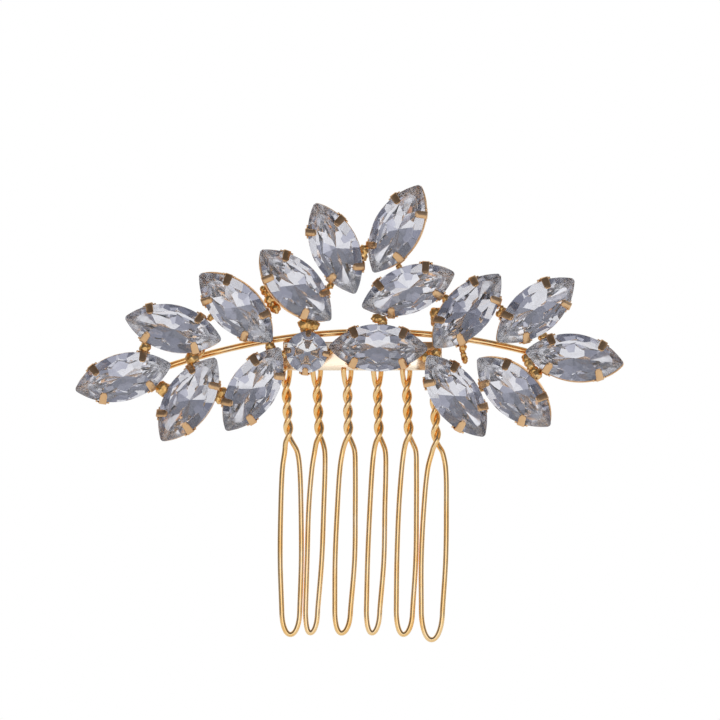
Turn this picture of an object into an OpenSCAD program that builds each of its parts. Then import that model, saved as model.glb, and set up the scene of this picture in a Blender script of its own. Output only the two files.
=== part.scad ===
// Hair comb with a spray of claw-set glass stones on six twisted wire teeth.
// Frame: teeth down, stones facing -Y, +Z up, +X to the right of someone who looks at the stones.
// The origin is the middle of the tooth row, at the lower edge of the comb bar.

/* [Comb bar] */
// Length of the bar that carries the teeth
bar_w = 24.4; // [24:0.2:24.6]
// Height of the bar
bar_h = 4.4; // [4:0.2:4.4]
// Thickness of the bar, and diameter of the stem wire above it
bar_t = 1; // [0.8:0.1:1]

/* [Stem wire] */
// Where the stem's arch is highest, across
stem_mid = 1.5; // [1:0.1:1.6]
// Height of the stem's arch at its highest point
stem_top = 5.95; // [5.95:0.05:6.1]
// How fast the arch falls away from its crest, in mm per square mm
stem_fall = 0.0054; // [0.0052:0.0001:0.0055]
// Left end of the stem, across
stem_left = -31.5; // [-32:0.1:-31]
// Right end of the stem, across
stem_right = 28; // [27.5:0.1:28.2]

/* [Teeth] */
// Diameter of the tooth wire
wire_d = 0.8; // [0.7:0.05:0.8]
// Height of one half turn of the twist
half_turn = 2.43; // [2.3:0.01:2.5]
// Where the twist starts, below the bar
twist_top = -1.5; // [-1.6:0.05:-1.4]

/* [Pointed oval stones] */
// Length of a stone, tip to tip
stone_l = 15; // [14.8:0.1:15]
// Width of a stone
stone_w = 7.2; // [7:0.1:7.2]
// Height from the girdle to the table
crown_h = 0.85; // [0.8:0.05:1]
// Depth from the girdle to the keel
pavilion_h = 3.2; // [3:0.1:3.2]

/* [Round stone] */
// Diameter of the round stone
round_d = 6.3; // [6.3:0.1:6.4]

/* [Settings] */
// Height of a setting, from its back to the stone's girdle
basket_h = 3.6; // [3.6:0.1:3.8]
// Thickness of the stamped sheet
sheet_t = 0.35; // [0.3:0.05:0.35]
// Width of a claw
claw_w = 1.2; // [1:0.1:1.3]
// How far each claw stands from the middle of a long side, as an angle of the side's arc
claw_angle = 24; // [22:1:26]

/* [Hidden] */
stone_count = 15;
tooth_count = 6;
setting_names = [for (i = [1:stone_count]) str("setting_", i)];
stone_names = [for (i = [1:stone_count]) str("stone_", i)];
tooth_names = [for (i = [1:tooth_count]) str("tooth_", i)];

gold = "#d9a45c";
pale_gold = "#ecc48e";
glass = "#9ea3b8";

// Each stone: across, up, turn of its long axis, lift off the stem, pitch and roll.
stones = [
    [-36.8, -0.9, 15, 0.5, 4, 3],
    [-28.75, 6.1, -13, 0.6, -3, -4],
    [-26.35, -4.75, 57, 0.5, 3, -5],
    [-19.25, 9.9, -43, 0.7, 3, 4],
    [-16.85, -2.5, 57, 0.9, -3, 5],
    [-10.6, 12.95, -45, 0.5, 4, -5],
    [-3.95, 19.05, -66, 0.9, 5, 6],
    [5.7, 21.65, 62, 0.5, -4, -6],
    [7.1, 12.7, 20, 0.4, -4, 5],
    [15.95, 8.65, 48, 0.9, 5, -4],
    [25.95, 9.3, 39, 0.6, 5, 6],
    [32.1, 1.75, -7, 0.5, 3, -4],
    [23.45, -3.2, -43, 0.5, -3, 5],
    [13.85, -3.9, -55, 1.3, 3, -5],
    [2.4, 3.6, -1, 0.2, 0, 2]
];
// The round stone's place, given the same way.
round_seat = [-8.5, 2.8, -5, 0.05, 0, 0];

// Each tooth's twist: where its axis is at the top, where it is at the last crossing,
// and how far its whole twist sits below its neighbours'.
tooth_axis = [
    [-11.77, -11.35, 0], [-7.02, -6.6, 0], [-2.32, -2.15, 0],
    [2.28, 2.55, 0], [6.73, 7.15, 0], [11, 11.35, 0.9]
];
// Heights at which the legs below the twist are placed, each leg's place there, and the
// heights at which a leg's tube has its rings.
leg_heights = [-12.2, -15, -21, -29, -37];
leg_rings = [-12.2, -13.4, -15, -18, -21, -25, -29, -33, -37];
left_legs = [
    [-11.9, -12.3, -12.55, -12.65, -12.4], [-7.3, -7.75, -8.25, -8.5, -8.75],
    [-3, -3.45, -3.85, -4.2, -4.25], [1.8, 1.5, 1.15, 0.8, 0.6],
    [6.4, 6.05, 5.6, 5.3, 5.2], [10.8, 10.05, 9.45, 9.05, 9.05]
];
right_legs = [
    [-10.1, -9.65, -9.45, -9.4, -9.65], [-5.8, -5.75, -5.95, -6.25, -6.9],
    [-1.2, -1.1, -1.1, -1.2, -1.85], [3.5, 3.6, 3.45, 3.3, 2.65],
    [8.2, 8.3, 8.3, 8.2, 7.7], [12.2, 12.8, 12.9, 12.8, 12.3]
];
// Lowest point of each tooth's wire, across and up.
tips = [[-11.1, -40.7], [-8.1, -40.5], [-3.3, -40.5], [1.4, -40.5], [6.25, -40.7], [10.6, -41.5]];

// Beads of solder where settings meet each other, the stem or the bar: place and radius.
beads = [
    [[-33.2, -4.3, 3.6], 0.8], [[-30.5, -3.6, -2.8], 1.05], [[-31, -0.8, 0.2], 0.6],
    [[-26, -4, 2], 1], [[-25.2, -0.9, 2.8], 0.9], [[-25.8, -0.8, 1], 0.95],
    [[-23.2, -3.9, 8.1], 0.55], [[-14.1, -3.7, 3.7], 0.8], [[-14.8, -0.8, 5.1], 0.7],
    [[-12.1, -4.2, 2.5], 0.5], [[-12.5, -1, 0.1], 0.75], [[-8.7, -0.8, 6.2], 0.9],
    [[-4.9, -4.1, 12.9], 0.5], [[5.6, -4, 15.8], 0.5], [[12.7, -4, 10.9], 0.65],
    [[11.3, -4.8, 2.7], 0.75], [[12.1, -1.1, 5.4], 0.9], [[9.7, -3.6, 2.2], 0.8],
    [[27.6, -3.6, 5.2], 0.7], [[27.8, -0.9, 2.3], 0.65], [[17.8, -4.2, -3], 0.45],
    [[-4.9, -3.5, 3.1], 0.4], [[2, -0.7, 5.9], 0.45], [[2.3, -0.6, 1.2], 0.4],
    [[-6.2, -0.6, 2.2], 0.4], [[-11.6, -0.1, 4.5], 0.4], [[0, -0.1, 4.9], 0.65],
    [[11.6, -0.1, 4.6], 0.5]
];
// Longer runs of solder: the place and the radius of each end.
runs = [
    [[-21.2, -4.3, -3.1], 0.8, [-21.9, -3.9, -4.4], 0.8], [[-14.8, -3.2, 12.3], 1, [-13.4, -3.4, 9.6], 0.8],
    [[-8.7, -4.1, 7], 0.9, [-7.3, -3.8, 6.8], 0.75], [[0.1, -4.1, 18.6], 0.75, [0.2, -3.7, 17.2], 0.65],
    [[1.9, -3.8, 8], 0.8, [3.3, -3.7, 7.5], 0.8], [[11.3, -3.8, 8.9], 0.85, [11, -3.8, 7.6], 0.75],
    [[21.2, -4.8, 9.3], 0.5, [20.9, -4.3, 8.5], 0.55], [[15.3, -4, 3.6], 0.6, [15.7, -3.6, 1.3], 0.55],
    [[24.9, -3.9, 1.9], 0.75, [26.7, -4.4, -0.6], 1]
];

front = -bar_t / 2;
stem_steps = 32;
stem_sides = 12;
wire_r = wire_d / 2;
wire_sides = 8;
strand_gap = 0.02;
twist_r = wire_r + strand_gap / 2;
// Heights of a tooth wire's two ends, on the front and on the back of the bar.
front_end = 0.35;
back_end = 1.8;
// Below its end, a strand passes these points: how far from the tooth's axis, how far from the
// bar's middle as a share of the wire's distance on the bar's face, and the height.
hook_x = 0.55;
hook_bends = [[0.58, 1, 0.1], [0.58, 0.8, -0.45]];
hook_foot = [0.5, 0.35, 0.5];
twist_step = 30;
twist_end = 660;
last_crossing = 3.5;
leg_start = 3.9;
// How far a leg stands from the tooth's axis where it leaves the twist, across and out.
leg_x = 0.5;
leg_y = 0.22;
leg_ring_y = 0.05;

girdle_t = 0.25;
tip_cut = 0.6;
sharp_l = stone_l + tip_cut;
arc_r = (sharp_l * sharp_l + stone_w * stone_w) / (4 * stone_w);
arc_off = arc_r - stone_w / 2;
arc_fn = 48;
round_fn = 64;
bead_fn = 16;
run_fn = 12;
table_in = 1.2;
keel_l = 1.2;
keel_t = 0.02;
culet_d = 0.6;
// How far a setting's wall stands in from the stone's edge, at the back and at the rim.
base_in = 1.06;
rim_in = 0.06;
rim_drop = 0.45;
round_base_d = 4.2;
back_cross = [11, 4.8];
strip_w = 0.9;
skin = 0.01;
fit = 0.03;
// The claws: how far they bite into the wall, reach in over the crown, and flare at the shoulder.
claw_bite = 0.15;
claw_reach = 1.25;
claw_tip = 0.1;
shoulder = 0.1;
shoulder_h = 0.6;
claw_foot = 0.4;

// Unit vector along v.
function unit(v) = v / norm(v);

// Direction of the path p at its point i.
function heading(p, i) = unit(p[min(i + 1, len(p) - 1)] - p[max(i - 1, 0)]);

// Ring of a tube round point i of path p. The path never runs along Y.
function ring(p, i, r, sides) =
    let (t = heading(p, i), a = unit(cross(t, [0, 1, 0])), b = cross(t, a))
    [for (k = [0:sides - 1]) p[i] + r * (cos(360 * k / sides) * a + sin(360 * k / sides) * b)];

// Solid tube of radius r along the path p.
module tube(p, r, sides) {
    n = len(p);
    points = [for (i = [0:n - 1]) each ring(p, i, r, sides)];
    first = [for (k = [0:sides - 1]) k];
    last = [for (k = [sides - 1:-1:0]) (n - 1) * sides + k];
    side_faces = [
        for (i = [0:n - 2], k = [0:sides - 1])
            let (a = i * sides + k, b = i * sides + (k + 1) % sides)
            each [[a, a + sides, b], [b, a + sides, b + sides]]
    ];
    polyhedron(points = points, faces = concat([first, last], side_faces), convexity = 6);
}

// Value at z of the smooth curve through the heights zs and the values vs.
function along(zs, vs, z, i = 0) =
    z >= zs[i + 1] || i == len(zs) - 2
        ? let (
            f = (z - zs[i]) / (zs[i + 1] - zs[i]),
            before = vs[max(i - 1, 0)],
            after = vs[min(i + 2, len(vs) - 1)],
            m0 = (vs[i + 1] - before) / (zs[i + 1] - zs[max(i - 1, 0)]) * (zs[i + 1] - zs[i]),
            m1 = (after - vs[i]) / (zs[min(i + 2, len(zs) - 1)] - zs[i]) * (zs[i + 1] - zs[i])
        )
        (1 + 2 * f) * (1 - f) * (1 - f) * vs[i] + f * (1 - f) * (1 - f) * m0
            + f * f * (3 - 2 * f) * vs[i + 1] - f * f * (1 - f) * m1
        : along(zs, vs, z, i + 1);

// One strand's hooked top, its side of the bar and its part of the twist, from the top down.
function strand(axis, side, top_end) =
    let (
        y_out = -front + twist_r,
        top = twist_top - axis[2],
        hook = concat(
            [[hook_x, y_out, top_end]],
            [for (h = hook_bends) [h.x, h.y * y_out, h.z]],
            [[hook_foot.x, hook_foot.y * y_out, top + hook_foot.z]]
        ),
        turns = [
            for (a = [0:twist_step:twist_end])
                [twist_r * cos(a), -twist_r * sin(a), top - half_turn * a / 180]
        ],
        lean = (axis[1] - axis[0]) / (half_turn * last_crossing)
    )
    concat(
        [for (h = hook) [axis[0] + side * h.x, side * h.y, h.z]],
        [for (t = turns) [axis[0] + lean * (top - t.z) + side * t.x, side * t.y, t.z]]
    );

// One leg below the twist, down to where the rounded end starts.
function leg(xs, side, axis) =
    let (
        top = twist_top - axis[2] - half_turn * leg_start,
        zs = concat([top], leg_heights),
        vs = concat([axis[1] + side * leg_x], xs)
    )
    concat(
        [[vs[0], side * leg_y, top]],
        [for (z = leg_rings) [along(zs, vs, z), z == leg_rings[0] ? side * leg_ring_y : 0, z]]
    );

// Half of the rounded end, from the foot of a leg to just short of the tip.
function toe(x, tip) =
    let (foot = leg_heights[4])
    [for (a = [15:15:75]) [x + (tip.x - x) * (1 - cos(a)), 0, foot + (tip.y - foot) * sin(a)]];

function reversed(p) = [for (i = [len(p) - 1:-1:0]) p[i]];

// One tooth: a single wire whose ends grip the bar, twisted together and opened into a loop.
module tooth(i) {
    axis = tooth_axis[i];
    left = left_legs[i];
    right = right_legs[i];
    left_half = concat(strand(axis, -1, front_end), leg(left, -1, axis), toe(left[4], tips[i]));
    right_half = concat(strand(axis, 1, back_end), leg(right, 1, axis), toe(right[4], tips[i]));
    color(gold)
        tube(concat(left_half, [[tips[i].x, 0, tips[i].y]], reversed(right_half)), wire_r, wire_sides);
}

// Flat bar that the teeth grip and the middle settings stand on.
module comb_bar() {
    color(pale_gold)
        translate([-bar_w / 2, front, 0])
            cube([bar_w, bar_t, bar_h]);
}

// Arched wire that carries the outer settings.
module stem_wire() {
    path = [
        for (k = [0:stem_steps])
            let (x = stem_left + (stem_right - stem_left) * k / stem_steps, away = x - stem_mid)
            [x, 0, stem_top - stem_fall * away * away]
    ];
    color(gold) tube(path, bar_t / 2, stem_sides);
}

// Pointed oval with blunted tips, moved in from the stone's edge by inset.
module pointed_oval(inset) {
    intersection() {
        square([stone_l - 2 * inset, stone_w], center = true);
        translate([0, arc_off]) circle(r = arc_r - inset, $fn = arc_fn);
        translate([0, -arc_off]) circle(r = arc_r - inset, $fn = arc_fn);
    }
}

// Solid between a small pointed oval at the back and a larger one at height h.
module taper(low_inset, high_inset, low, high) {
    hull() {
        translate([0, 0, low]) linear_extrude(skin) pointed_oval(low_inset);
        translate([0, 0, high - skin]) linear_extrude(skin) pointed_oval(high_inset);
    }
}

// One claw, standing at radius r and folded over the edge of a stone.
module claw(r, base, h) {
    top = h + girdle_t;
    inner = r + fit;
    outer = inner + sheet_t;
    tip = top + fit + claw_reach * crown_h / table_in;
    profile = [
        [r - base - claw_bite, 0], [r - rim_in - claw_bite, h - rim_drop], [inner, h - rim_drop / 2],
        [inner, top + fit], [r - claw_reach, tip], [r - claw_reach + claw_tip, tip + sheet_t],
        [r - shoulder, top + shoulder_h], [outer, top + shoulder], [outer, h - shoulder],
        [r - base + claw_foot, 0]
    ];
    rotate([90, 0, 0]) linear_extrude(claw_w, center = true) polygon(profile);
}

// Stamped boat-shaped setting: tapered wall, open back with a cross, four claws.
module setting_body() {
    difference() {
        taper(base_in, rim_in, 0, basket_h - rim_drop);
        taper(base_in + sheet_t, rim_in + sheet_t, -skin, basket_h - rim_drop + skin);
    }
    translate([0, 0, sheet_t / 2]) cube([back_cross.x, strip_w, sheet_t], center = true);
    translate([0, 0, sheet_t / 2]) cube([strip_w, back_cross.y, sheet_t], center = true);
    for (half = [0, 180], side = [-1, 1])
        rotate([0, 0, half])
            translate([0, -arc_off, 0])
                rotate([0, 0, 90 + side * claw_angle])
                    claw(arc_r, base_in, basket_h);
}

// Pointed oval glass stone, with a table in front and a keel behind.
module stone_body() {
    hull() {
        translate([0, 0, basket_h]) linear_extrude(girdle_t) pointed_oval(0);
        translate([0, 0, basket_h + girdle_t + crown_h - skin]) linear_extrude(skin) pointed_oval(table_in);
        translate([0, 0, basket_h - pavilion_h]) cube([keel_l, keel_t, keel_t], center = true);
    }
}

// Places a setting or a stone: its back to the stem, its face to the front.
module seat(s) {
    translate([s[0], front - s[3], s[1]])
        rotate([90, 0, 0])
            rotate([0, 0, s[2]])
                rotate([s[5], s[4], 0])
                    children();
}

module setting(i) {
    color(gold) seat(stones[i]) setting_body();
}

module stone(i) {
    color(glass) seat(stones[i]) stone_body();
}

// Round cup with four claws, open at the back.
module round_setting() {
    color(gold)
        seat(round_seat) {
            difference() {
                cylinder(d1 = round_base_d, d2 = round_d - 2 * rim_in, h = basket_h - rim_drop,
                    $fn = round_fn);
                translate([0, 0, -skin])
                    cylinder(d1 = round_base_d - 2 * sheet_t, d2 = round_d - 2 * rim_in - 2 * sheet_t,
                        h = basket_h - rim_drop + 2 * skin, $fn = round_fn);
            }
            for (a = [0:90:270])
                rotate([0, 0, a])
                    claw(round_d / 2, (round_d - round_base_d) / 2, basket_h);
        }
}

// Round stone: a cone behind, a thin girdle, a flat table in front.
module round_stone() {
    color(glass)
        seat(round_seat) {
            translate([0, 0, basket_h - pavilion_h])
                cylinder(d1 = culet_d, d2 = round_d, h = pavilion_h, $fn = round_fn);
            translate([0, 0, basket_h])
                cylinder(d = round_d, h = girdle_t, $fn = round_fn);
            translate([0, 0, basket_h + girdle_t])
                cylinder(d1 = round_d, d2 = round_d - 2 * table_in, h = crown_h, $fn = round_fn);
        }
}

// Beads of solder that join the settings.
module solder_joints() {
    color(pale_gold) {
        for (b = beads)
            translate(b[0]) sphere(b[1], $fn = bead_fn);
        for (r = runs)
            hull() {
                translate(r[0]) sphere(r[1], $fn = run_fn);
                translate(r[2]) sphere(r[3], $fn = run_fn);
            }
    }
}

comb_bar();
stem_wire();
solder_joints();
round_setting();
round_stone();
for (i = [0:tooth_count - 1]) tooth(i);
for (i = [0:stone_count - 1]) setting(i);
for (i = [0:stone_count - 1]) stone(i);
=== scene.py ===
"""Looks of the hair comb: cut glass stones in claw settings, solder, stem, bar and twisted wire teeth."""

import math

import bmesh
import bpy
from mathutils import Matrix, Vector, noise


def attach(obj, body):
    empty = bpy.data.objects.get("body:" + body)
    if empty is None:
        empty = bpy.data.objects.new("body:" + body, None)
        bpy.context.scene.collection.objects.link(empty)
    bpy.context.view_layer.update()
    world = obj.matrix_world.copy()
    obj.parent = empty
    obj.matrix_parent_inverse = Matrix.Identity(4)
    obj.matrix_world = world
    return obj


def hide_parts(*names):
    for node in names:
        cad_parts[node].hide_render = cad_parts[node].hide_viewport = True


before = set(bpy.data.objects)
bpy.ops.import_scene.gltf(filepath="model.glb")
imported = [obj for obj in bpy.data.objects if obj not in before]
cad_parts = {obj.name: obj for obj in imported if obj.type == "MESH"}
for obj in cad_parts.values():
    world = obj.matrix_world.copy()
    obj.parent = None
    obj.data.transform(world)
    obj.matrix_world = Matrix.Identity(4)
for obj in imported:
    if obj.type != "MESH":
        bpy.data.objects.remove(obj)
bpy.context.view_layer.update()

MM = 0.001
DEG = math.pi / 180

# ---------------------------------------------------------------- sizes, in mm, as in the CAD source

BAR = (24.4, 1.0, 4.4)
FRONT = -0.5  # the bar's front face, along Y

# stones, lying on their settings: Z is the height above the setting's back
STONE_HALF_L = 7.5
STONE_HALF_W = 3.6
STONE_TIP_R = 0.55
GIRDLE_LOW = 3.6
GIRDLE_TOP = 3.85
CROWN_H = 0.85
TABLE_IN = 1.2
PAVILION_H = 3.2
ROUND_R = 3.15
ROUND_PAVILION_H = 2.75
ROUND_TABLE_R = 1.82

# settings: half length and half width of the boat, and radius of the cup, at the back and at the rim
RIM_Z = 3.15
SHEET = 0.33
BOAT_BACK = (6.34, 2.54)
BOAT_RIM = (7.42, 3.53)
CUP_BACK_R = 2.1
CUP_RIM_R = 3.09
CLAW_ANGLE = 24
CLAW_W = 1.15
CLAW_REACH = 1.45
CLAW_BEND = 0.3

# wires
WIRE_R = 0.4
STEM_R = 0.5
STEM_LEFT = -31.5
STEM_RIGHT = 28.0
STEM_MID = 1.5
STEM_TOP = 5.95
STEM_FALL = 0.0054

# across, up, turn, lift, pitch, roll
STONES = [
    (-36.8, -0.9, 15, 0.5, 4, 3),
    (-28.75, 6.1, -13, 0.6, -3, -4),
    (-26.35, -4.75, 57, 0.5, 3, -5),
    (-19.25, 9.9, -43, 0.7, 3, 4),
    (-16.85, -2.5, 57, 0.9, -3, 5),
    (-10.6, 12.95, -45, 0.5, 4, -5),
    (-3.95, 19.05, -66, 0.9, 5, 6),
    (5.7, 21.65, 62, 0.5, -4, -6),
    (7.1, 12.7, 20, 0.4, -4, 5),
    (15.95, 8.65, 48, 0.9, 5, -4),
    (25.95, 9.3, 39, 0.6, 5, 6),
    (32.1, 1.75, -7, 0.5, 3, -4),
    (23.45, -3.2, -43, 0.5, -3, 5),
    (13.85, -3.9, -55, 1.3, 3, -5),
    (2.4, 3.6, -1, 0.2, 0, 2),
]
# where each setting's rim shows past its stone: across and up, in mm
RIM_SHOWS = [
    (-0.1, 0.1), (0.05, -0.1), (0.1, -0.15), (0.2, 0.3), (-0.15, -0.05),
    (-0.3, -0.3), (0.1, 0.15), (0.35, -0.05), (0.05, 0.1), (-0.3, 0.05),
    (-0.15, -0.15), (0.3, -0.3), (0.3, 0.35), (0.15, 0.1), (0.0, 0.1),
]
ROUND_SEAT = (-8.5, 2.8, -5, 0.05, 0, 0)

# each tooth: its middle at the bar and below the twist, and how much lower its twist starts
TOOTH_AXIS = [
    (-11.77, -11.35, 0), (-7.02, -6.6, 0), (-2.32, -2.15, 0),
    (2.28, 2.55, 0), (6.73, 7.15, 0), (11, 11.35, 0.9),
]
# heights down the legs, and where each leg is at those heights
LEG_Z = (-12.2, -15, -21, -29, -37)
LEFT_LEGS = [
    (-11.9, -12.3, -12.55, -12.65, -12.4), (-7.3, -7.75, -8.25, -8.5, -8.75),
    (-3, -3.45, -3.85, -4.2, -4.25), (1.8, 1.5, 1.15, 0.8, 0.6),
    (6.4, 6.05, 5.6, 5.3, 5.2), (10.8, 10.05, 9.45, 9.05, 9.05),
]
RIGHT_LEGS = [
    (-10.1, -9.65, -9.45, -9.4, -9.65), (-5.8, -5.75, -5.95, -6.25, -6.9),
    (-1.2, -1.1, -1.1, -1.2, -1.85), (3.5, 3.6, 3.45, 3.3, 2.65),
    (8.2, 8.3, 8.3, 8.2, 7.7), (12.2, 12.8, 12.9, 12.8, 12.3),
]
# lowest point of each loop
TIPS = [(-11.1, -40.7), (-8.1, -40.5), (-3.3, -40.5), (1.4, -40.5), (6.25, -40.7), (10.6, -41.5)]
HALF_TURN = 2.43
TWIST_TOP = -1.5
TWIST_R = 0.41

# across, out, up and radius
BEADS = [
    (-33.2, -4.3, 3.6, 0.8), (-30.5, -3.6, -2.8, 1.05), (-31, -0.8, 0.2, 0.6), (-26, -4, 2, 1),
    (-25.2, -0.9, 2.8, 0.9), (-25.8, -0.8, 1, 0.95), (-23.2, -3.9, 8.1, 0.55), (-14.1, -3.7, 3.7, 0.8),
    (-14.8, -0.8, 5.1, 0.7), (-12.1, -4.2, 2.5, 0.5), (-12.5, -1, 0.1, 0.75), (-8.7, -0.8, 6.2, 0.9),
    (-4.9, -4.1, 12.9, 0.5), (5.6, -4, 15.8, 0.5), (12.7, -4, 10.9, 0.65), (11.3, -4.8, 2.7, 0.75),
    (12.1, -1.1, 5.4, 0.9), (9.7, -3.6, 2.2, 0.8), (27.6, -3.6, 5.2, 0.7), (27.8, -0.9, 2.3, 0.65),
    (17.8, -4.2, -3, 0.45), (-4.9, -3.5, 3.1, 0.4), (2, -0.7, 5.9, 0.45), (2.3, -0.6, 1.2, 0.4),
    (-6.2, -0.6, 2.2, 0.4), (-11.6, -0.1, 4.5, 0.4), (0, -0.1, 4.9, 0.65), (11.6, -0.1, 4.6, 0.5),
]
# both ends of each longer run
RUNS = [
    ((-21.2, -4.3, -3.1, 0.8), (-21.9, -3.9, -4.4, 0.8)),
    ((-14.8, -3.2, 12.3, 1), (-13.4, -3.4, 9.6, 0.8)),
    ((-8.7, -4.1, 7, 0.9), (-7.3, -3.8, 6.8, 0.75)),
    ((0.1, -4.1, 18.6, 0.75), (0.2, -3.7, 17.2, 0.65)),
    ((1.9, -3.8, 8, 0.8), (3.3, -3.7, 7.5, 0.8)),
    ((11.3, -3.8, 8.9, 0.85), (11, -3.8, 7.6, 0.75)),
    ((21.2, -4.8, 9.3, 0.5), (20.9, -4.3, 8.5, 0.55)),
    ((15.3, -4, 3.6, 0.6), (15.7, -3.6, 1.3, 0.55)),
    ((24.9, -3.9, 1.9, 0.75), (26.7, -4.4, -0.6, 1)),
]


# ---------------------------------------------------------------- materials


def add_node(tree, kind, values=None, **attributes):
    """Node with some of its attributes and input values set."""
    made = tree.nodes.new(kind)
    for key, value in attributes.items():
        setattr(made, key, value)
    for key, value in (values or {}).items():
        made.inputs[key].default_value = value
    return made


def feed(tree, socket, value):
    """Set socket to a plain value, or link it to another node's output."""
    if isinstance(value, bpy.types.NodeSocket):
        tree.links.new(value, socket)
    else:
        socket.default_value = value


def maths(tree, operation, *values):
    made = add_node(tree, "ShaderNodeMath", operation=operation)
    for socket, value in zip(made.inputs, values):
        feed(tree, socket, value)
    return made.outputs[0]


def dot(tree, a, b):
    made = add_node(tree, "ShaderNodeVectorMath", operation="DOT_PRODUCT")
    feed(tree, made.inputs[0], a)
    feed(tree, made.inputs[1], b)
    return made.outputs["Value"]


def mix(tree, share, a, b, blend="MIX"):
    """Colour a with a share of colour b."""
    made = add_node(tree, "ShaderNodeMixRGB", blend_type=blend)
    for key, value in (("Fac", share), ("Color1", a), ("Color2", b)):
        feed(tree, made.inputs[key], value)
    return made.outputs[0]


def parts_of(tree, vector):
    """The X, Y and Z outputs of a vector."""
    made = add_node(tree, "ShaderNodeSeparateXYZ")
    tree.links.new(vector, made.inputs[0])
    return made.outputs


def new_material(name):
    made = bpy.data.materials.new(name)
    made.use_nodes = True
    return made, made.node_tree, made.node_tree.nodes["Principled BSDF"]


def streaks(tree, coords, stretch, scale, detail=4.0):
    """Noise value, stretched along some axes."""
    place = add_node(tree, "ShaderNodeMapping")
    place.inputs["Scale"].default_value = stretch
    tree.links.new(coords, place.inputs["Vector"])
    made = add_node(tree, "ShaderNodeTexNoise", {"Scale": scale, "Detail": detail, "Roughness": 0.6})
    tree.links.new(place.outputs["Vector"], made.inputs["Vector"])
    return made.outputs["Fac"]


def ramp(tree, value, stops):
    """Colour ramp over value. stops are (position, colour)."""
    made = add_node(tree, "ShaderNodeValToRGB")
    made.color_ramp.elements[0].position = stops[0][0]
    made.color_ramp.elements[1].position = stops[-1][0]
    for place, _ in stops[1:-1]:
        made.color_ramp.elements.new(place)
    for element, (_, colour) in zip(made.color_ramp.elements, stops):
        element.color = (*colour, 1)
    tree.links.new(value, made.inputs["Fac"])
    return made.outputs["Color"]


def remap(tree, value, low, high, to_low, to_high, smooth=False):
    made = add_node(tree, "ShaderNodeMapRange",
                    {"From Min": low, "From Max": high, "To Min": to_low, "To Max": to_high})
    if smooth:
        made.interpolation_type = "SMOOTHSTEP"
    tree.links.new(value, made.inputs["Value"])
    return made.outputs["Result"]


def bump(tree, shader, value, strength, distance):
    made = add_node(tree, "ShaderNodeBump", {"Strength": strength, "Distance": distance})
    tree.links.new(value, made.inputs["Height"])
    tree.links.new(made.outputs["Normal"], shader.inputs["Normal"])


def metal(name, stops, rough, stretch, scale, bump_depth, patch_scale=180.0, use_uv=True):
    """Plated metal: streaks along the work, soft patches of tone, and a fine bump."""
    made, tree, shader = new_material(name)
    shader.inputs["Metallic"].default_value = 1.0
    coords = add_node(tree, "ShaderNodeTexCoord")
    fine = streaks(tree, coords.outputs["UV" if use_uv else "Object"], stretch, scale)
    patch = streaks(tree, coords.outputs["Object"], (1, 1, 1), patch_scale, 2.0)
    both = maths(tree, "MULTIPLY_ADD", fine, 0.5, maths(tree, "MULTIPLY", patch, 0.5))
    tree.links.new(ramp(tree, both, stops), shader.inputs["Base Color"])
    tree.links.new(remap(tree, both, 0.3, 0.7, rough[1], rough[0]), shader.inputs["Roughness"])
    bump(tree, shader, fine, 0.6, bump_depth)
    return made


gold_wire = metal(
    "gold_wire",
    [(0.3, (0.92, 0.51, 0.14)), (0.5, (1.0, 0.68, 0.31)), (0.7, (1.0, 0.8, 0.52))],
    rough=(0.1, 0.2), stretch=(6, 0.35, 1), scale=3.0, bump_depth=0.00001)
gold_bar = metal(
    "gold_bar",
    [(0.3, (0.95, 0.76, 0.54)), (0.7, (1.0, 0.88, 0.7))],
    rough=(0.1, 0.18), stretch=(0.4, 8, 1), scale=1.2, bump_depth=0.000006)
gold_setting = metal(
    "gold_setting",
    [(0.28, (0.5, 0.26, 0.11)), (0.48, (0.82, 0.52, 0.27)), (0.7, (0.95, 0.68, 0.41))],
    rough=(0.16, 0.3), stretch=(7, 0.5, 1), scale=2.2, bump_depth=0.000014)


def painted_backlight_inside(material, colour):
    """The faces of a setting that look at its stone get painted light: pale grey standing in for light from
    behind that shows through the stone.
    """
    tree = material.node_tree
    shader = tree.nodes["Principled BSDF"]
    plated = shader.inputs["Base Color"].links[0].from_socket
    coords = add_node(tree, "ShaderNodeTexCoord")
    here, normal = coords.outputs["Object"], coords.outputs["Normal"]
    height = parts_of(tree, here)["Z"]
    upward = parts_of(tree, normal)["Z"]
    outward = maths(tree, "SUBTRACT", dot(tree, here, normal), maths(tree, "MULTIPLY", height, upward))
    wall_face = remap(tree, outward, -0.0004, -0.0002, 1, 0)
    floor_face = remap(tree, upward, 0.7, 0.9, 0, 1)
    below_rim = remap(tree, height, (RIM_Z - 0.1) * MM, RIM_Z * MM, 1, 0)
    share = maths(tree, "MULTIPLY", maths(tree, "MAXIMUM", wall_face, floor_face), below_rim)
    # painted light: mix pale grey over the inner wall and floor faces below the rim, as if lit from behind
    # through the stone
    tree.links.new(mix(tree, share, plated, (*colour, 1)), shader.inputs["Base Color"])


# painted backlight: pale grey on the settings' inner faces, seen through the stones as light from behind
painted_backlight_inside(gold_setting, (0.86, 0.86, 0.88))
solder_metal = metal(
    "solder",
    [(0.3, (0.6, 0.3, 0.08)), (0.5, (0.9, 0.55, 0.2)), (0.7, (0.98, 0.75, 0.42))],
    rough=(0.16, 0.38), stretch=(1, 1, 1), scale=900.0, bump_depth=0.00006, patch_scale=400.0, use_uv=False)


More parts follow.
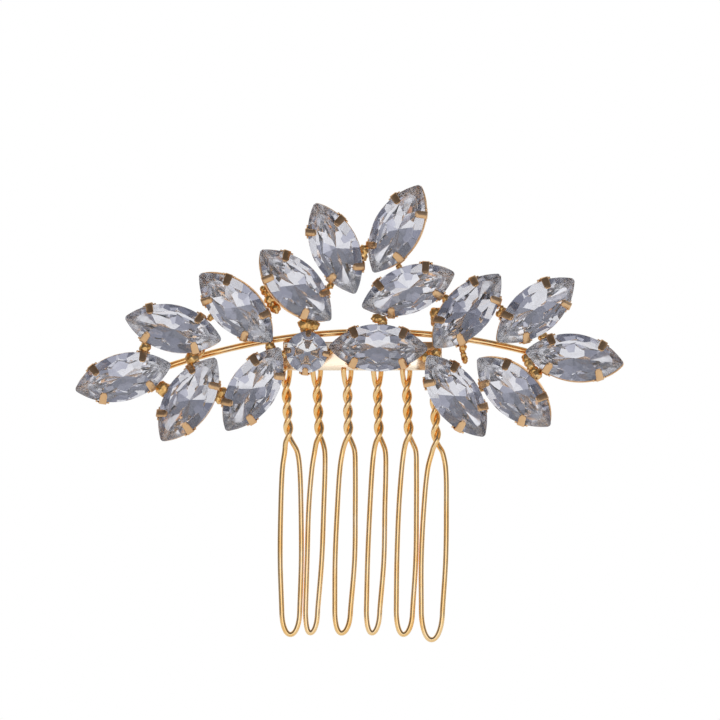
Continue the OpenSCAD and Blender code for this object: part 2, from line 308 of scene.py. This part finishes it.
def glass(name, tint_a, tint_b, ior, back_rough, tip_rough):
    """Clear cut glass: a cool body colour that varies a little, a polished front and a duller back."""
    made, tree, shader = new_material(name)
    shader.inputs["Transmission Weight"].default_value = 1.0
    shader.inputs["IOR"].default_value = ior
    here = add_node(tree, "ShaderNodeTexCoord").outputs["Object"]
    cloud = streaks(tree, here, (1, 1, 1), 260.0, 2.0)
    tree.links.new(ramp(tree, cloud, [(0.35, tint_a), (0.65, tint_b)]), shader.inputs["Base Color"])
    scuff = streaks(tree, here, (1, 4, 1), 1500.0, 3.0)
    polish = remap(tree, scuff, 0.45, 0.8, 0.0, 0.03)
    place = parts_of(tree, here)
    along = maths(tree, "ABSOLUTE", place["X"])
    dullness = remap(tree, along, 3.2 * MM, 6.2 * MM, back_rough, tip_rough, smooth=True)
    behind = remap(tree, place["Z"], (GIRDLE_LOW - 0.02) * MM, GIRDLE_LOW * MM, 1.0, 0.0)
    back = maths(tree, "MULTIPLY", dullness, behind)
    tree.links.new(maths(tree, "ADD", polish, back), shader.inputs["Roughness"])
    return made


stone_glass = glass("stone_glass", (0.9, 0.905, 0.97), (0.955, 0.95, 1.0),
                    ior=1.75, back_rough=0.018, tip_rough=0.15)
round_glass = glass("round_glass", (0.97, 0.97, 1.0), (1.0, 1.0, 1.0),
                    ior=1.7, back_rough=0.01, tip_rough=0.01)


# ---------------------------------------------------------------- mesh helpers


class Shape:
    """Collects faces in mm and turns them into one object in metres."""

    def __init__(self):
        self.verts, self.faces, self.uvs = [], [], []

    def grid(self, rings, loop=False, cap=True):
        """Skin over rings of points. loop joins the last ring to the first, cap closes both ends."""
        first = len(self.verts)
        count = len(rings[0])
        for ring in rings:
            self.verts.extend(Vector(p) for p in ring)
        around = [0.0]
        for i in range(count):
            around.append(around[-1] + (Vector(rings[0][(i + 1) % count]) - Vector(rings[0][i])).length)
        along = [0.0]
        for a, b in zip(rings, rings[1:] + rings[:1]):
            along.append(along[-1] + (Vector(b[0]) - Vector(a[0])).length)
        steps = len(rings) if loop else len(rings) - 1
        for r in range(steps):
            s = (r + 1) % len(rings)
            for i in range(count):
                j = (i + 1) % count
                self.faces.append([first + r * count + i, first + r * count + j,
                                   first + s * count + j, first + s * count + i])
                self.uvs.append([(around[i], along[r]), (around[i + 1], along[r]),
                                 (around[i + 1], along[r + 1]), (around[i], along[r + 1])])
        if cap and not loop:
            self.fan([first + i for i in range(count)][::-1])
            self.fan([first + (len(rings) - 1) * count + i for i in range(count)])

    def fan(self, indices):
        """One flat face."""
        self.faces.append(indices)
        self.uvs.append([(self.verts[i].x, self.verts[i].y) for i in indices])

    def polygons(self, polygons):
        """Separate flat faces, each a list of points."""
        for polygon in polygons:
            first = len(self.verts)
            self.verts.extend(polygon)
            self.fan(list(range(first, first + len(polygon))))

    def build(self, name, material, place=None, smooth=None, weld=0.0):
        """Make the object. smooth is the angle, in degrees, over which an edge stays sharp."""
        mesh = bpy.data.meshes.new(name)
        mesh.from_pydata([v * MM for v in self.verts], [], self.faces)
        layer = mesh.uv_layers.new(name="UVMap")
        flat = [c for face in self.uvs for uv in face for c in uv]
        layer.data.foreach_set("uv", flat)
        work = bmesh.new()
        work.from_mesh(mesh)
        if weld:
            bmesh.ops.remove_doubles(work, verts=work.verts, dist=weld * MM)
            bmesh.ops.dissolve_degenerate(work, dist=weld * MM, edges=work.edges)
        bmesh.ops.recalc_face_normals(work, faces=work.faces)
        work.to_mesh(mesh)
        work.free()
        if smooth is not None:
            mesh.shade_smooth()
            mesh.set_sharp_from_angle(angle=smooth * DEG)
        mesh.materials.append(material)
        made = bpy.data.objects.new(name, mesh)
        bpy.context.scene.collection.objects.link(made)
        if place is not None:
            made.matrix_world = place
        return made


def hand_in(piece, slot, *nodes):
    """Every piece rides on the only body and stands for its CAD nodes. Its slot is not used."""
    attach(piece, "root")
    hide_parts(*nodes)


def tube(shape, path, radius, sides):
    """Round wire along path, with softly domed cut ends."""
    headings = []
    for i in range(len(path)):
        a, b = path[max(i - 1, 0)], path[min(i + 1, len(path) - 1)]
        headings.append((b - a).normalized())
    side = headings[0].cross(Vector((0, 1, 0))).normalized()
    rings = []

    def ring(centre, heading, r):
        other = heading.cross(side)
        turns = [2 * math.pi * k / sides for k in range(sides)]
        return [centre + (side * math.cos(a) + other * math.sin(a)) * r for a in turns]

    dome = [(0.22, 0.45), (0.16, 0.75), (0.06, 0.94)]
    for back, share in dome:
        rings.append(ring(path[0] - headings[0] * back * radius, headings[0], radius * share))
    for centre, heading in zip(path, headings):
        side = (side - heading * side.dot(heading)).normalized()
        rings.append(ring(centre, heading, radius))
    for back, share in reversed(dome):
        rings.append(ring(path[-1] + headings[-1] * back * radius, headings[-1], radius * share))
    shape.grid(rings)


def along_curve(zs, vs, z):
    """Smooth curve through heights zs and values vs, as in the CAD source."""
    i = 0
    while i < len(zs) - 2 and z < zs[i + 1]:
        i += 1
    f = (z - zs[i]) / (zs[i + 1] - zs[i])
    low, high = max(i - 1, 0), min(i + 2, len(zs) - 1)
    m0 = (vs[i + 1] - vs[low]) / (zs[i + 1] - zs[low]) * (zs[i + 1] - zs[i])
    m1 = (vs[high] - vs[i]) / (zs[high] - zs[i]) * (zs[i + 1] - zs[i])
    return ((1 + 2 * f) * (1 - f) ** 2 * vs[i] + f * (1 - f) ** 2 * m0
            + f * f * (3 - 2 * f) * vs[i + 1] - f * f * (1 - f) * m1)


# ---------------------------------------------------------------- teeth, stem, bar

TWIST_DEG = 660  # how far the strands turn round each other
LEAN_TURNS = 3.5  # half turns over which a leaning twist gets to its lower end
LEG_TURNS = 3.9  # half turns from the twist's top to the start of the legs
TURN_STEP = 6
LEG_STEP = 0.6
PATH_STEP = 0.22
PATH_EASING = 5


def tooth_half(i, side, legs, top_end):
    """Points of one strand: hook on the bar, twist, leg and its part of the rounded end."""
    at_bar, below_twist, drop = TOOTH_AXIS[i]
    y_out = -FRONT + TWIST_R
    top = TWIST_TOP - drop
    lean = (below_twist - at_bar) / (HALF_TURN * LEAN_TURNS)
    # across from the tooth's middle, depth and height of the points that hook over the bar
    hook = [(0.55, y_out, top_end), (0.58, y_out, 0.1), (0.58, 0.8 * y_out, -0.45),
            (0.5, 0.35 * y_out, top + 0.5)]
    points = [Vector((at_bar + side * x, side * y, z)) for x, y, z in hook]
    for a in range(0, TWIST_DEG + 1, TURN_STEP):
        z = top - HALF_TURN * a / 180
        points.append(Vector((at_bar + lean * (top - z) + side * TWIST_R * math.cos(a * DEG),
                              -side * TWIST_R * math.sin(a * DEG), z)))
    start = top - HALF_TURN * LEG_TURNS
    zs = [start, *LEG_Z]
    vs = [below_twist + side * 0.5, *legs]
    points.append(Vector((vs[0], side * 0.22, start)))
    z = LEG_Z[0]
    while z > LEG_Z[-1]:
        y = side * 0.05 * max(0.0, 1 - (LEG_Z[0] - z) / 1.2)
        points.append(Vector((along_curve(zs, vs, z), y, z)))
        z -= LEG_STEP
    tip_x, tip_z = TIPS[i]
    for a in range(0, 88, TURN_STEP):
        points.append(Vector((legs[-1] + (tip_x - legs[-1]) * (1 - math.cos(a * DEG)), 0,
                              LEG_Z[-1] + (tip_z - LEG_Z[-1]) * math.sin(a * DEG))))
    return points


def even(path, step, rounds):
    """The same path with points a step apart, its kinks eased."""
    lengths = [0.0]
    for a, b in zip(path, path[1:]):
        lengths.append(lengths[-1] + (b - a).length)
    count = int(lengths[-1] / step)
    points, k = [], 0
    for n in range(count + 1):
        s = lengths[-1] * n / count
        while k < len(path) - 2 and lengths[k + 1] < s:
            k += 1
        f = (s - lengths[k]) / max(lengths[k + 1] - lengths[k], 1e-9)
        points.append(path[k].lerp(path[k + 1], min(max(f, 0), 1)))
    for _ in range(rounds):
        points = [points[0]] + [points[i - 1] * 0.25 + points[i] * 0.5 + points[i + 1] * 0.25
                                for i in range(1, len(points) - 1)] + [points[-1]]
    return points


for i, (tip_x, tip_z) in enumerate(TIPS):
    left = tooth_half(i, -1, LEFT_LEGS[i], 0.35)
    right = tooth_half(i, 1, RIGHT_LEGS[i], 1.8)
    path = even(left + [Vector((tip_x, 0, tip_z))] + right[::-1], PATH_STEP, PATH_EASING)
    wire = Shape()
    tube(wire, path, WIRE_R, 20)
    hand_in(wire.build(f"wire_tooth_{i + 1}", gold_wire, smooth=60), "gold_wire", f"tooth_{i + 1}")

stem = Shape()
stem_path = []
for k in range(241):
    x = STEM_LEFT + (STEM_RIGHT - STEM_LEFT) * k / 240
    stem_path.append(Vector((x, 0, STEM_TOP - STEM_FALL * (x - STEM_MID) ** 2)))
tube(stem, stem_path, STEM_R, 28)
hand_in(stem.build("stem", gold_wire, smooth=60), "gold_wire", "stem_wire")


def rounded_box(shape, size, bevel, centre, place=Matrix.Identity(4)):
    """Bar or strip with eased edges and corners."""
    work = bmesh.new()
    bmesh.ops.create_cube(work, size=1)
    bmesh.ops.scale(work, vec=size, verts=work.verts)
    bmesh.ops.bevel(work, geom=list(work.edges), offset=bevel, segments=3, profile=0.5, affect="EDGES")
    bmesh.ops.translate(work, vec=centre, verts=work.verts)
    work.verts.ensure_lookup_table()
    first = len(shape.verts)
    shape.verts.extend(place @ v.co for v in work.verts)
    for face in work.faces:
        shape.faces.append([first + v.index for v in face.verts])
        shape.uvs.append([(v.co.x, v.co.z + v.co.y) for v in face.verts])
    work.free()


bar = Shape()
rounded_box(bar, BAR, 0.14, (0, 0, BAR[2] / 2))
hand_in(bar.build("bar", gold_bar, smooth=40), "gold_bar", "comb_bar")


# ---------------------------------------------------------------- outlines


def oval_facts(a, b, tip_r):
    """Radius and centre offset of the long arcs, and the angle where they meet the tips."""
    r = ((a - tip_r) ** 2 + b ** 2 - tip_r ** 2) / (2 * (b - tip_r))
    return r, r - b, math.atan2(r - b, a - tip_r)


def oval(a, b, tip_r, arc_steps=28, tip_steps=6):
    """Pointed oval with rounded tips: half length a, half width b."""
    r, off, low = oval_facts(a, b, tip_r)
    points = []
    for half in (0, 1):
        turn = math.pi * half
        for k in range(tip_steps):
            p = -low + 2 * low * k / tip_steps
            points.append(((a - tip_r) + tip_r * math.cos(p), tip_r * math.sin(p), turn))
        for k in range(arc_steps):
            p = low + (math.pi - 2 * low) * k / arc_steps
            points.append((r * math.cos(p), r * math.sin(p) - off, turn))
    return [(x * math.cos(t) - y * math.sin(t), x * math.sin(t) + y * math.cos(t)) for x, y, t in points]


def circle(r, steps=72):
    turns = [2 * math.pi * k / steps for k in range(steps)]
    return [(r * math.cos(a), r * math.sin(a)) for a in turns]


ARC_R, ARC_OFF, ARC_LOW = oval_facts(STONE_HALF_L, STONE_HALF_W, STONE_TIP_R)


def stone_reach(angle):
    """Distance from the stone's middle to its edge's tangent that faces angle, in radians."""
    a = abs(math.atan2(math.sin(angle), math.cos(angle)))
    a = min(a, math.pi - a)
    if a < ARC_LOW:
        return (STONE_HALF_L - STONE_TIP_R) * math.cos(a) + STONE_TIP_R
    return ARC_R - ARC_OFF * math.sin(a)


# ---------------------------------------------------------------- stones


def cut_solid(planes):
    """Convex solid inside all planes (normal, distance), as flat polygons."""
    far = 20.0
    corners = [Vector((x, y, z)) for x in (-far, far) for y in (-far, far) for z in (-far, far)]
    faces = [[corners[i] for i in f] for f in
             ((0, 1, 3, 2), (4, 6, 7, 5), (0, 4, 5, 1), (2, 3, 7, 6), (0, 2, 6, 4), (1, 5, 7, 3))]
    for normal, distance in planes:
        kept, rim = [], []
        for face in faces:
            over = [normal.dot(p) - distance for p in face]
            if max(over) <= 1e-7:
                kept.append(face)
                continue
            part = []
            for k, p in enumerate(face):
                q, a, b = face[(k + 1) % len(face)], over[k], over[(k + 1) % len(face)]
                if a <= 0:
                    part.append(p)
                if (a < 0 < b) or (b < 0 < a):
                    crossing = p + (q - p) * (a / (a - b))
                    part.append(crossing)
                    rim.append(crossing)
            if len(part) > 2:
                kept.append(part)
        if len(rim) > 2:
            middle = sum(rim, Vector()) / len(rim)
            u = normal.orthogonal().normalized()
            v = normal.cross(u)
            rim.sort(key=lambda p: math.atan2((p - middle).dot(v), (p - middle).dot(u)))
            ring = [p for k, p in enumerate(rim) if (p - rim[k - 1]).length > 1e-5]
            if len(ring) > 2:
                kept.append(ring)
        faces = kept
    return faces


def sloped(angle, slope, reach, z, up):
    """Facet plane that faces angle in plan, touches the edge at reach and height z, and leans by slope."""
    n = Vector((math.cos(angle) * math.sin(slope), math.sin(angle) * math.sin(slope), up * math.cos(slope)))
    return n, reach * math.sin(slope) + up * z * math.cos(slope)


def wobble(seed, k, amount):
    """Small fixed variation of a facet's angle, as in hand-finished glass."""
    return noise.noise(Vector((seed * 3.7 + 0.31, k * 1.93 + 0.17, 0.5))) * amount


# facets of a pointed oval: angle in plan, slope, and how much the slope varies from stone to stone, in
# degrees. The pavilion's slopes come on top of the slope that meets at the keel.
CROWN_FACETS = [(72, 35, 1.5), (0, 25, 1.5), (44, 36, 1.5)]
PAVILION_FACETS = [(75, 0, 0.3), (50, 5, 1.2), (90, 13, 1.2), (0, 26, 1.2)]
PLAN_VARIES = 2.0
KEEL_FLAT = 0.035
TIP_FLATS = 5
SIDE_FLATS = 22

# slopes of the round stone's facets, in degrees
CROWN_MAIN = 33
CROWN_HALF = 38
CROWN_STAR = 20
PAVILION_MAIN = 38.2
PAVILION_HALF = 40


def level(angle):
    return Vector((math.cos(angle), math.sin(angle), 0))


def mirrored(angle):
    """Where a facet at angle repeats round the stone, in degrees."""
    if angle == 0:
        return [0, 180]
    return sorted({angle, 180 - angle, -angle, angle - 180})


def marquise(seed):
    """Pointed oval stone: a girdle of many small flats, a table, and facets above and below."""
    tips = [-ARC_LOW + 2 * ARC_LOW * k / (TIP_FLATS - 1) for k in range(TIP_FLATS)]
    sides = [ARC_LOW + (math.pi - 2 * ARC_LOW) * k / SIDE_FLATS for k in range(1, SIDE_FLATS)]
    planes = []
    for p in tips + sides:
        for turn in (0, math.pi):
            planes.append((level(p + turn), stone_reach(p)))
    planes.append((Vector((0, 0, 1)), GIRDLE_TOP + CROWN_H))
    keel = GIRDLE_LOW - PAVILION_H
    planes.append((Vector((0, 0, -1)), -(keel + KEEL_FLAT)))
    k = 0
    for facets, up, z in ((CROWN_FACETS, 1, GIRDLE_TOP), (PAVILION_FACETS, -1, GIRDLE_LOW)):
        for angle, slope, varies in facets:
            for p in mirrored(angle):
                k += 1
                face = (p + wobble(seed, k, PLAN_VARIES)) * DEG
                to_keel = 0.0 if up > 0 else math.atan2(PAVILION_H, stone_reach(p * DEG))
                lean = to_keel + (slope + wobble(seed, k + 50, varies)) * DEG
                planes.append(sloped(face, lean, stone_reach(face), z, up))
    return cut_solid(planes)


def brilliant():
    """Round stone: eight mains above and below, a pair of halves beside each, and stars round the table."""
    top = GIRDLE_TOP + CROWN_H
    planes = [(level(2 * math.pi * k / 64), ROUND_R) for k in range(64)]
    planes.append((Vector((0, 0, 1)), top))
    planes.append((Vector((0, 0, -1)), -(GIRDLE_LOW - ROUND_PAVILION_H)))
    for k in range(8):
        a = 2 * math.pi * k / 8
        planes.append(sloped(a, CROWN_MAIN * DEG, ROUND_R, GIRDLE_TOP, 1))
        planes.append(sloped(a, PAVILION_MAIN * DEG, ROUND_R, GIRDLE_LOW, -1))
        between = a + math.pi / 8
        planes.append(sloped(between, CROWN_STAR * DEG, ROUND_TABLE_R, top, 1))
        for side in (-1, 1):
            b = a + side * math.pi / 16
            planes.append(sloped(b, CROWN_HALF * DEG, ROUND_R, GIRDLE_TOP, 1))
            planes.append(sloped(b, PAVILION_HALF * DEG, ROUND_R, GIRDLE_LOW, -1))
    return cut_solid(planes)


def seat(stance):
    """Where a stone and its setting stand, as in the CAD source."""
    across, up, turn, lift, pitch, roll = stance
    upright = Matrix.Translation(Vector((across, FRONT - lift, up)) * MM) @ Matrix.Rotation(90 * DEG, 4, "X")
    return (upright @ Matrix.Rotation(turn * DEG, 4, "Z") @ Matrix.Rotation(pitch * DEG, 4, "Y")
            @ Matrix.Rotation(roll * DEG, 4, "X"))


# ---------------------------------------------------------------- settings

# shares of a claw's length on the crown where its width is set, closer together at the rounded tip
CLAW_STEPS = (0.25, 0.5, 0.68, 0.8, 0.88, 0.94, 0.98, 1.0)
CLAW_TIP = 0.3  # length of the rounded tip
SHOULDER = (0.42, 0.34, 0.42)
# how far a claw's foot stands in from the stone's edge
BOAT_TAPER = 1.06
CUP_TAPER = 1.05


def claw(shape, r, base_in, place, seed, wide=CLAW_W, over=CLAW_REACH):
    """One claw: up the wall, over the girdle and down on the crown, with a shoulder on each side."""
    slope = math.atan2(CROWN_H, TABLE_IN)
    knee_r, knee_z = r - 0.04, GIRDLE_TOP - 0.03
    # out from the middle, up, and width
    path = [
        (r - base_in + 0.1, 0.12, 1.75),
        (r - 0.45 * base_in + 0.13, 1.7, 1.7),
        (r + 0.08, GIRDLE_LOW - 0.75, 1.5),
        (r + 0.22, GIRDLE_LOW - 0.35, 1.25),
        (knee_r + CLAW_BEND, GIRDLE_LOW, wide),
    ]
    for k in range(6):
        a = (math.pi / 2 - slope) * k / 5
        path.append((knee_r + CLAW_BEND * math.cos(a), knee_z + CLAW_BEND * math.sin(a), wide))
    fold_r, fold_z = path[-1][0], path[-1][1]
    length = over / math.cos(slope)
    for share in CLAW_STEPS:
        width = wide * (1 - 0.1 * share)
        left = (1 - share) * length / CLAW_TIP
        if left < 1:
            width *= math.sqrt(max(1 - (1 - left) ** 2, 0.45))
        run = share * length
        path.append((fold_r - run * math.cos(slope), fold_z + run * math.sin(slope), width))
    rings = []
    last = len(path) - 1
    for k, (pr, pz, width) in enumerate(path):
        a, b = path[max(k - 1, 0)], path[min(k + 1, last)]
        heading = Vector((b[0] - a[0], 0, b[1] - a[1])).normalized()
        out = Vector((heading.z, 0, -heading.x))
        thick = SHEET * (1 if k < last - 3 else 0.82)
        w, t = width / 2, thick / 2
        c = min(0.08, w * 0.4)
        shift = wobble(seed, k, 0.05)
        section = [(w - c, t), (w, t - c), (w, -t + c), (w - c, -t),
                   (-w + c, -t), (-w, -t + c), (-w, t - c), (-w + c, t)]
        centre = Vector((pr, 0, pz))
        rings.append([place @ (centre + out * o + Vector((0, y + shift, 0))) for y, o in section])
    shape.grid(rings)
    for side in (-1, 1):
        beside = place @ Matrix.Translation((r + 0.04, side * (wide / 2 + 0.3), GIRDLE_LOW - 0.62))
        rounded_box(shape, SHOULDER, 0.09, (0, 0, 0), beside)


def wall(shape, outline, shows):
    """Tapered thin wall, whose rim's outside spreads towards shows.

    outline(share, inset) gives the ring at a share of the wall's height, moved in by inset.
    """
    ease = 0.09
    # height and inset of each ring, up the outside and then down the inside
    outer = [(0.0, ease), (ease, 0.0), (RIM_Z * 0.25, 0), (RIM_Z * 0.5, 0), (RIM_Z * 0.75, 0),
             (RIM_Z - ease, 0.0), (RIM_Z, ease)]
    inner = [(RIM_Z, SHEET - ease), (RIM_Z - ease, SHEET), (RIM_Z * 0.6, SHEET), (ease, SHEET),
             (0.0, SHEET - ease)]
    rings = []
    for height, inset in outer:
        ring = []
        for x, y in outline(height / RIM_Z, inset):
            out = Vector((x * 0.25, y)).normalized()
            push = max(0.0, out.dot(shows)) * (height / RIM_Z) ** 2
            ring.append((x + out.x * push, y + out.y * push, height))
        rings.append(ring)
    for height, inset in inner:
        rings.append([(x, y, height) for x, y in outline(height / RIM_Z, inset)])
    shape.grid(rings, loop=True)


def boat_outline(share, inset):
    a = BOAT_BACK[0] + (BOAT_RIM[0] - BOAT_BACK[0]) * share - inset
    b = BOAT_BACK[1] + (BOAT_RIM[1] - BOAT_BACK[1]) * share - inset
    return oval(a, b, max(0.1, 0.3 + 0.2 * share - inset * 0.4))


def cup_outline(share, inset):
    return circle(CUP_BACK_R + (CUP_RIM_R - CUP_BACK_R) * share - inset)


def cross(shape, length, width, strip):
    """Two flat strips that cross on the open back of a setting."""
    rounded_box(shape, (length, strip, SHEET), 0.1, (0, 0, SHEET / 2))
    rounded_box(shape, (strip, width, SHEET), 0.1, (0, 0, SHEET / 2))


def boat_setting(seed, shows):
    shape = Shape()
    wall(shape, boat_outline, shows)
    cross(shape, 12.2, 4.9, 0.9)
    for k, (half, side) in enumerate(((0, -1), (0, 1), (180, -1), (180, 1))):
        turn = 90 + side * (CLAW_ANGLE + wobble(seed, k, 3))
        place = (Matrix.Rotation(half * DEG, 4, "Z") @ Matrix.Translation((0, -ARC_OFF, 0))
                 @ Matrix.Rotation(turn * DEG, 4, "Z"))
        claw(shape, ARC_R, BOAT_TAPER, place, seed * 5 + k)
    return shape


def cup_setting():
    shape = Shape()
    wall(shape, cup_outline, Vector((0, 0)))
    cross(shape, 4.1, 4.1, 0.8)
    for k in range(4):
        claw(shape, ROUND_R, CUP_TAPER, Matrix.Rotation(k * 90 * DEG, 4, "Z"), 90 + k, wide=0.9, over=0.85)
    return shape


for i, stone in enumerate(STONES):
    place = seat(stone)
    gem = Shape()
    gem.polygons(marquise(i + 1))
    hand_in(gem.build(f"marquise_{i + 1}", stone_glass, place, weld=0.004), "stone_glass", f"stone_{i + 1}")
    shows = Vector(RIM_SHOWS[i])
    shows.rotate(Matrix.Rotation(-stone[2] * DEG, 2))
    basket = boat_setting(i + 1, shows).build(f"basket_{i + 1}", gold_setting, place, smooth=50)
    hand_in(basket, "gold_setting", f"setting_{i + 1}")

round_place = seat(ROUND_SEAT)
gem = Shape()
gem.polygons(brilliant())
hand_in(gem.build("brilliant", round_glass, round_place, weld=0.004), "stone_glass", "round_stone")
hand_in(cup_setting().build("cup", gold_setting, round_place, smooth=50), "gold_setting", "round_setting")

# ---------------------------------------------------------------- solder


def blob(shape, x, y, z, r, seed):
    """Lump of solder: uneven, with a skin that has run and frozen."""
    work = bmesh.new()
    bmesh.ops.create_icosphere(work, subdivisions=3, radius=1)
    first = len(shape.verts)
    centre = Vector((x, y, z))
    for v in work.verts:
        d = v.co.normalized()
        big = noise.noise(d * 1.3 + Vector((seed * 2.1, 0, 0))) * 0.36
        ridge = (0.3 - abs(noise.noise(d * 2.6 + Vector((0, seed * 1.7, 0))))) * 0.34
        tiny = noise.noise(d * 7 + Vector((0, 0, seed * 1.3))) * 0.07
        shape.verts.append(centre + d * r * (1.0 + big + ridge + tiny))
    for face in work.faces:
        shape.faces.append([first + v.index for v in face.verts])
        shape.uvs.append([(0, 0)] * len(face.verts))
    work.free()


solder = Shape()
for k, (x, y, z, r) in enumerate(BEADS):
    blob(solder, x, y, z, r, k + 1)
for k, (start, end) in enumerate(RUNS):
    steps = 4
    for n in range(steps + 1):
        f = n / steps
        x, y, z, r = (a + (b - a) * f for a, b in zip(start, end))
        size = r * (0.85 + wobble(k, n + 40, 0.3))
        blob(solder, x + wobble(k, n, 0.3), y, z + wobble(k, n + 20, 0.3), size, 60 + 7 * k + n)
hand_in(solder.build("solder_beads", solder_metal, smooth=70), "solder", "solder_joints")

# ---------------------------------------------------------------- floor, light, camera

FLOOR_R = 620
FLOOR_Z = -120


def pale_floor():
    """Round floor, well below the comb."""
    made, tree, shader = new_material("floor_pale")
    coords = add_node(tree, "ShaderNodeTexCoord")
    cloud = streaks(tree, coords.outputs["Object"], (1, 1, 1), 8.0)
    tones = ramp(tree, cloud, [(0.3, (0.78, 0.78, 0.78)), (0.7, (0.81, 0.81, 0.81))])
    tree.links.new(tones, shader.inputs["Base Color"])
    shader.inputs["Roughness"].default_value = 0.8
    edge = circle(FLOOR_R, 96)
    floor = Shape()
    floor.verts.extend(Vector((x, y, FLOOR_Z)) for x, y in edge)
    floor.fan(list(range(len(edge))))
    return floor.build("floor", made)


pale_floor()

WHITE = (1.0, 1.0, 1.0, 1)
LIGHT_FROM = (0.1, -0.45, -0.887)
# tones of the room in front, from the side that faces away from the light to the side that faces it
FRONT_TONES = [
    (0.0, (0.09, 0.09, 0.11)), (0.4, (0.15, 0.16, 0.2)), (0.64, (0.22, 0.23, 0.29)),
    (0.73, (0.36, 0.37, 0.45)), (0.81, (0.8, 0.81, 0.9)), (1.0, (1.0, 1.0, 1.0)),
]
# soft box in front: along X and Z, how far it is full and where it ends
SOFT_BOX = (("X", 0.36, 0.52), ("Z", 0.16, 0.28))
SOFT_BOX_GAIN = 0.8
INSIDE_GAIN = 0.72  # how bright the room is for light that has been through glass
BACK_ACROSS = (0.75, 0.0, 0.66)
BACK_TONES = [
    (0.0, (0.3, 0.3, 0.32)), (0.3, (0.5, 0.5, 0.52)), (0.45, (1.0, 1.0, 1.0)), (0.66, (1.0, 1.0, 1.0)),
    (0.82, (0.5, 0.5, 0.52)), (1.0, (0.7, 0.7, 0.72)),
]


def studio_light():
    """A graded room and a soft box in front, panels behind for bare metal, and otherwise plain white."""
    world = bpy.data.worlds.new("studio")
    bpy.context.scene.world = world
    world.use_nodes = True
    sky = world.node_tree
    sky.nodes.clear()
    direction = add_node(sky, "ShaderNodeTexCoord").outputs["Generated"]
    path = add_node(sky, "ShaderNodeLightPath").outputs
    axes = parts_of(sky, direction)

    def graded(axis, tones):
        return ramp(sky, remap(sky, dot(sky, direction, axis), -1, 1, 0, 1), tones)

    def through_glass(before, after):
        return remap(sky, path["Transmission Depth"], 0, 1, before, after)

    room = add_node(sky, "ShaderNodeVectorMath", operation="SCALE")
    sky.links.new(graded(LIGHT_FROM, FRONT_TONES), room.inputs[0])
    sky.links.new(through_glass(1.0, INSIDE_GAIN), room.inputs["Scale"])
    spans = [remap(sky, maths(sky, "ABSOLUTE", axes[axis]), full, end, 1.0, 0.0, smooth=True)
             for axis, full, end in SOFT_BOX]
    soft_box = maths(sky, "MULTIPLY", maths(sky, "MULTIPLY", *spans), through_glass(SOFT_BOX_GAIN, 0))
    front = mix(sky, 1.0, room.outputs[0], soft_box, "ADD")

    on_metal = maths(sky, "MULTIPLY", path["Is Glossy Ray"], through_glass(1, 0))
    back = mix(sky, on_metal, WHITE, graded(BACK_ACROSS, BACK_TONES))
    behind = remap(sky, axes["Y"], 0.0, 0.3, 0, 1, smooth=True)
    plain = maths(sky, "MAXIMUM", path["Is Camera Ray"], path["Is Diffuse Ray"])
    shine = add_node(sky, "ShaderNodeBackground")
    sky.links.new(mix(sky, plain, mix(sky, behind, front, back), WHITE), shine.inputs["Color"])
    sky.links.new(shine.outputs[0], add_node(sky, "ShaderNodeOutputWorld").inputs["Surface"])


studio_light()

VIEW_W = 110.16  # width of the view, in mm, at the depth of the stones
VIEW_DEPTH = 3.0
VIEW_X = -0.38
VIEW_Z = 1.6
LENS = 200.0
SENSOR = 36.0
camera = bpy.data.objects.new("camera", bpy.data.cameras.new("camera"))
camera.data.lens = LENS
camera.data.sensor_width = SENSOR
camera.data.clip_start = 0.01
camera.location = Vector((VIEW_X, -LENS * VIEW_W / SENSOR - VIEW_DEPTH, VIEW_Z)) * MM
camera.rotation_euler = (90 * DEG, 0, 0)
bpy.context.scene.collection.objects.link(camera)
bpy.context.scene.camera = camera

scene = bpy.context.scene
scene.view_settings.view_transform = "Standard"
scene.cycles.max_bounces = 20
scene.cycles.transmission_bounces = 18
scene.cycles.glossy_bounces = 8
